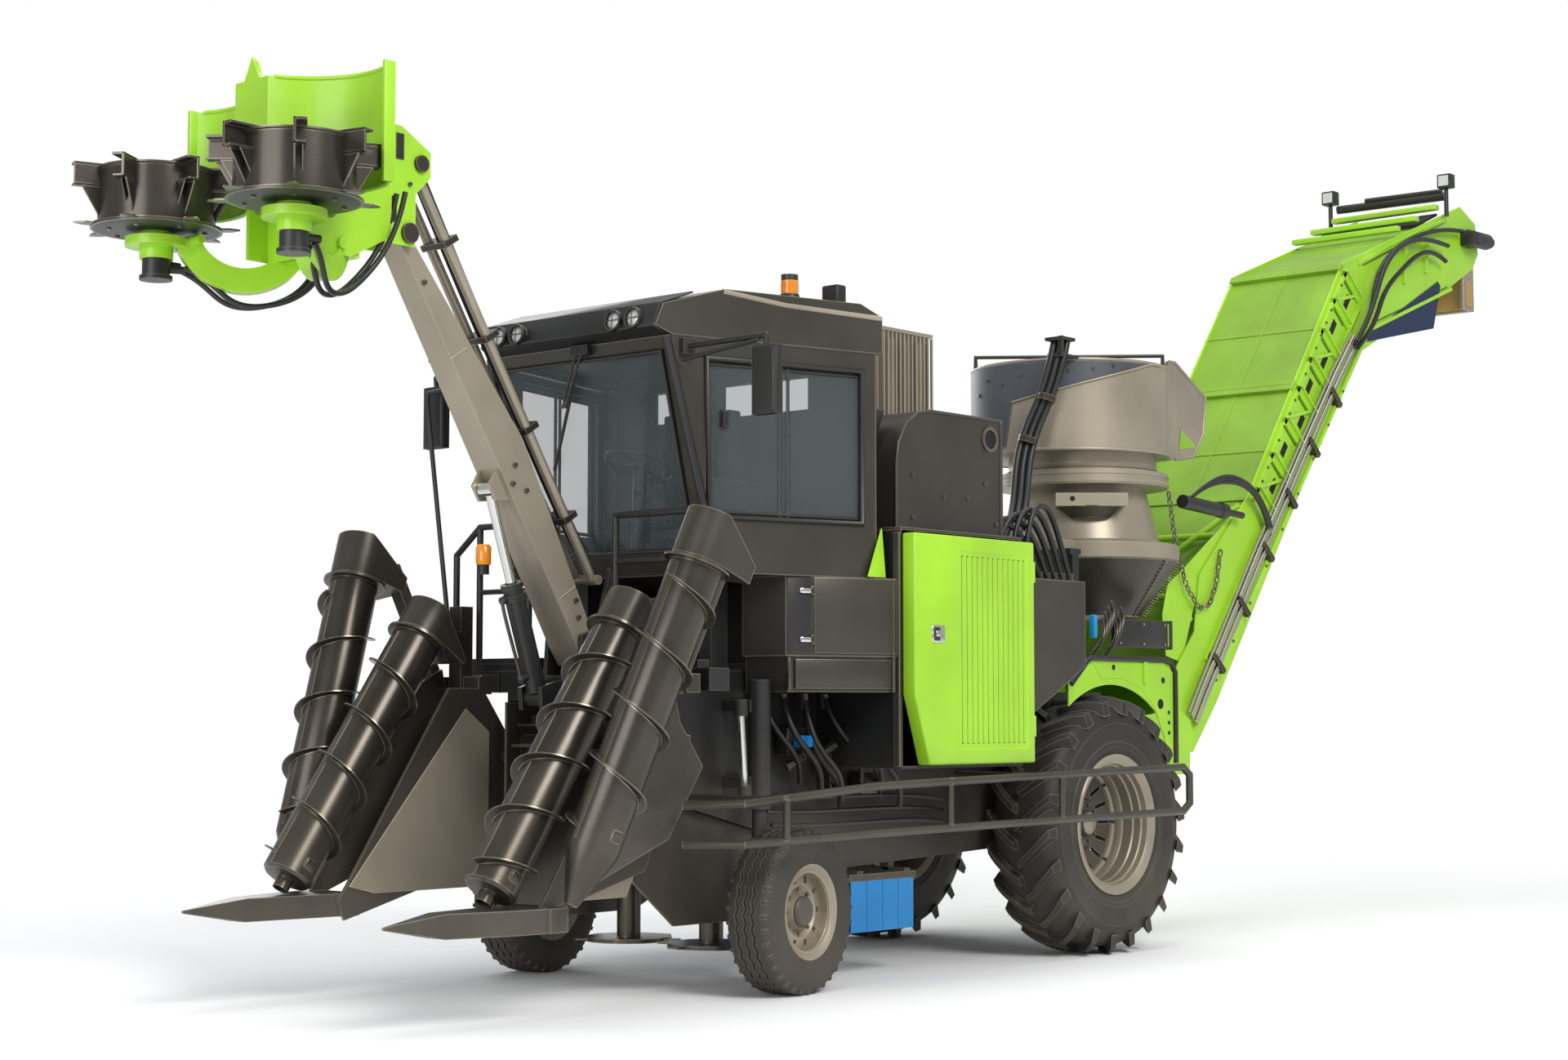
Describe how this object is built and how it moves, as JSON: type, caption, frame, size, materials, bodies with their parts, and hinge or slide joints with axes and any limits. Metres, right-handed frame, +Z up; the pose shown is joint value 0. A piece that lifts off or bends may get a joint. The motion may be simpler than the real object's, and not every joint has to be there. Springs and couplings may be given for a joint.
{
  "type": "sugarcane harvester",
  "caption": "Self-propelled sugarcane harvester with topper boom, scroll crop dividers, cab, extractor hood and slewing billet elevator.",
  "frame": {"origin": "on the ground under the middle of the rear axle", "axes": "+X to the front of the machine, +Y to its left, +Z up"},
  "size_m": [11.934, 2.7524, 5.44],
  "materials": {
    "lime_paint": "semi-gloss lime green paint",
    "dark_paint": "dark brown-grey metallic paint",
    "beige_paint": "warm grey-beige metallic paint",
    "black_paint": "satin black paint",
    "dark_steel": "worn dark steel of the scrolls and drums",
    "rod_chrome": "polished rod",
    "tyre_rubber": "tyre rubber",
    "blue_rubber": "bright blue rubber curtain",
    "navy_rubber": "navy rubber skirt",
    "window_glass": "tinted safety glass",
    "seat_fabric": "black seat cloth"
  },
  "bodies": {
    "chassis": {"chassis_frame": "black_paint", "throat_housing": "dark_paint", "rear_axle": "black_paint", "front_legs": "black_paint", "cab_shell": "dark_paint", "cab_roof": "dark_paint", "cab_glass": "window_glass", "seat": "seat_fabric", "side_boxes": "dark_paint", "engine_bay": "black_paint", "engine_block": "black_paint", "engine_hood": "dark_paint", "intake_box": "beige_paint", "tanks": "dark_paint", "extractor_housing": "beige_paint", "guard_rails": "dark_paint", "fenders": "lime_paint", "mud_flap": "blue_rubber", "walkway": "black_paint", "mirrors": "black_paint"},
    "wheel_rear_left": {"tyre_rear_left": "tyre_rubber", "rim_rear_left": "beige_paint"},
    "knuckle_left": {"knuckle_left": "black_paint"},
    "wheel_front_left": {"tyre_front_left": "tyre_rubber", "rim_front_left": "beige_paint"},
    "base_cutter_left": {"base_cutter_left": "dark_steel"},
    "wheel_rear_right": {"tyre_rear_right": "tyre_rubber", "rim_rear_right": "beige_paint"},
    "knuckle_right": {"knuckle_right": "black_paint"},
    "wheel_front_right": {"tyre_front_right": "tyre_rubber", "rim_front_right": "beige_paint"},
    "base_cutter_right": {"base_cutter_right": "dark_steel"},
    "knockdown_roller": {"knockdown_roller": "dark_steel"},
    "cab_door": {"cab_door": "dark_paint"},
    "engine_door_left": {"engine_door_left": "lime_paint"},
    "engine_door_right": {"engine_door_right": "lime_paint"},
    "extractor_fan": {"extractor_fan": "black_paint"},
    "extractor_hood": {"extractor_hood": "beige_paint"},
    "turntable": {"turntable": "lime_paint"},
    "elevator": {"elevator_frame": "lime_paint", "elevator_cover": "lime_paint", "elevator_chain": "dark_steel", "elevator_head": "lime_paint", "elevator_skirt": "navy_rubber"},
    "boom": {"boom": "beige_paint"},
    "topper_head": {"topper_head": "lime_paint"},
    "level_rod": {"level_rod": "beige_paint"},
    "boom_cylinder": {"boom_cylinder": "black_paint"},
    "boom_rod": {"boom_rod": "rod_chrome"},
    "topper_drum_left": {"topper_drum_left": "dark_steel"},
    "divider_left": {"divider_left": "dark_paint"},
    "auger_inner_left": {"auger_inner_left": "dark_steel"},
    "auger_outer_left": {"auger_outer_left": "dark_steel"},
    "topper_drum_right": {"topper_drum_right": "dark_steel"},
    "divider_right": {"divider_right": "dark_paint"},
    "auger_inner_right": {"auger_inner_right": "dark_steel"},
    "auger_outer_right": {"auger_outer_right": "dark_steel"}
  },
  "joints": [
    {"name": "wheel_rear_left_spin", "type": "hinge", "parent": "chassis", "child": "wheel_rear_left", "pos_m": [0, 0.7765, 0.74], "axis": [0, 1, 0], "continuous": true},
    {"name": "steer_left", "type": "hinge", "parent": "chassis", "child": "knuckle_left", "pos_m": [2.783, 0.69, 0.65], "axis": [0, 0, 1], "range_deg": [-42.5, 27.5]},
    {"name": "wheel_front_left_spin", "type": "hinge", "parent": "knuckle_left", "child": "wheel_front_left", "pos_m": [2.75879, 0.87391, 0.403], "axis": [-0.1305, 0.9914, 0], "continuous": true},
    {"name": "base_cutter_left_spin", "type": "hinge", "parent": "chassis", "child": "base_cutter_left", "pos_m": [2.7, 0.292, 0.5], "axis": [0, 0, 1], "continuous": true},
    {"name": "wheel_rear_right_spin", "type": "hinge", "parent": "chassis", "child": "wheel_rear_right", "pos_m": [0, -0.7765, 0.74], "axis": [0, 1, 0], "continuous": true},
    {"name": "steer_right", "type": "hinge", "parent": "chassis", "child": "knuckle_right", "pos_m": [2.783, -0.69, 0.65], "axis": [0, 0, 1], "range_deg": [-42.5, 27.5]},
    {"name": "wheel_front_right_spin", "type": "hinge", "parent": "knuckle_right", "child": "wheel_front_right", "pos_m": [2.80721, -0.87391, 0.403], "axis": [-0.1305, 0.9914, 0], "continuous": true},
    {"name": "base_cutter_right_spin", "type": "hinge", "parent": "chassis", "child": "base_cutter_right", "pos_m": [2.7, -0.292, 0.5], "axis": [0, 0, 1], "continuous": true},
    {"name": "knockdown_roller_spin", "type": "hinge", "parent": "chassis", "child": "knockdown_roller", "pos_m": [3.27, 0, 1.21], "axis": [0, 1, 0], "continuous": true},
    {"name": "cab_door_swing", "type": "hinge", "parent": "chassis", "child": "cab_door", "pos_m": [2.288, -0.963, 2.6], "axis": [0, 0, -1], "range_deg": [0, 80]},
    {"name": "engine_door_left_swing", "type": "hinge", "parent": "chassis", "child": "engine_door_left", "pos_m": [1.053, 1.14, 1.7], "axis": [0, 0, 1], "range_deg": [0, 100]},
    {"name": "engine_door_right_swing", "type": "hinge", "parent": "chassis", "child": "engine_door_right", "pos_m": [1.053, -1.14, 1.7], "axis": [0, 0, -1], "range_deg": [0, 100]},
    {"name": "extractor_fan_spin", "type": "hinge", "parent": "chassis", "child": "extractor_fan", "pos_m": [-1.13, 0, 2.62], "axis": [0, 0, 1], "continuous": true},
    {"name": "extractor_hood_turn", "type": "hinge", "parent": "chassis", "child": "extractor_hood", "pos_m": [-1.13, 0, 2.94], "axis": [0, 0, 1], "continuous": true},
    {"name": "elevator_slew", "type": "hinge", "parent": "chassis", "child": "turntable", "pos_m": [-1.13, 0, 0.95], "axis": [0, 0, 1], "range_deg": [-80, 80]},
    {"name": "elevator_lift", "type": "hinge", "parent": "turntable", "child": "elevator", "pos_m": [-1.5, 0, 1.29], "axis": [0, 1, 0], "range_deg": [-25, 0]},
    {"name": "boom_lift", "type": "hinge", "parent": "chassis", "child": "boom", "pos_m": [3.4, 0, 1.7], "axis": [0, -1, 0], "range_deg": [-38, 0]},
    {"name": "topper_level", "type": "hinge", "parent": "boom", "child": "topper_head", "pos_m": [4.60069, 0, 3.5993], "axis": [0, -1, 0], "range_deg": [0, 38]},
    {"name": "level_rod_swing", "type": "hinge", "parent": "chassis", "child": "level_rod", "pos_m": [3.333, 0, 2.038], "axis": [0, -1, 0], "range_deg": [-38, 0]},
    {"name": "boom_cylinder_swing", "type": "hinge", "parent": "chassis", "child": "boom_cylinder", "pos_m": [3.64, 0, 1.45], "axis": [0, -1, 0], "range_deg": [-36.5, 0]},
    {"name": "boom_rod_slide", "type": "slide", "parent": "boom_cylinder", "child": "boom_rod", "axis": [0.3188, 0, 0.9478], "range_m": [-0.225, 0]},
    {"name": "topper_drum_left_spin", "type": "hinge", "parent": "topper_head", "child": "topper_drum_left", "pos_m": [5.56, 0.495, 3.7], "axis": [0, 0, 1], "continuous": true},
    {"name": "divider_left_lift", "type": "hinge", "parent": "chassis", "child": "divider_left", "pos_m": [3.34, 0.6, 1.15], "axis": [0, -1, 0], "range_deg": [-8, 0]},
    {"name": "auger_inner_left_spin", "type": "hinge", "parent": "divider_left", "child": "auger_inner_left", "pos_m": [4.61, 0.712, 0.587], "axis": [-0.5699, 0, 0.8217], "continuous": true},
    {"name": "auger_outer_left_spin", "type": "hinge", "parent": "divider_left", "child": "auger_outer_left", "pos_m": [4.28, 1.02, 0.77], "axis": [-0.3453, 0.1403, 0.928], "continuous": true},
    {"name": "topper_drum_right_spin", "type": "hinge", "parent": "topper_head", "child": "topper_drum_right", "pos_m": [5.56, -0.495, 3.7], "axis": [0, 0, 1], "continuous": true},
    {"name": "divider_right_lift", "type": "hinge", "parent": "chassis", "child": "divider_right", "pos_m": [3.34, -0.6, 1.15], "axis": [0, -1, 0], "range_deg": [-8, 0]},
    {"name": "auger_inner_right_spin", "type": "hinge", "parent": "divider_right", "child": "auger_inner_right", "pos_m": [4.61, -0.712, 0.587], "axis": [-0.5699, 0, 0.8217], "continuous": true},
    {"name": "auger_outer_right_spin", "type": "hinge", "parent": "divider_right", "child": "auger_outer_right", "pos_m": [4.28, -1.02, 0.77], "axis": [-0.3453, -0.1403, 0.928], "continuous": true}
  ],
  "couplings": [
    {"joint": "steer_right", "follows": "steer_left", "ratio": 1},
    {"joint": "base_cutter_right_spin", "follows": "base_cutter_left_spin", "ratio": -1},
    {"joint": "topper_level", "follows": "boom_lift", "ratio": -1},
    {"joint": "level_rod_swing", "follows": "boom_lift", "ratio": 1},
    {"joint": "boom_cylinder_swing", "follows": "boom_lift", "ratio": 0.937},
    {"joint": "boom_rod_slide", "follows": "boom_lift", "m_per_rad": 0.3322}
  ]
}
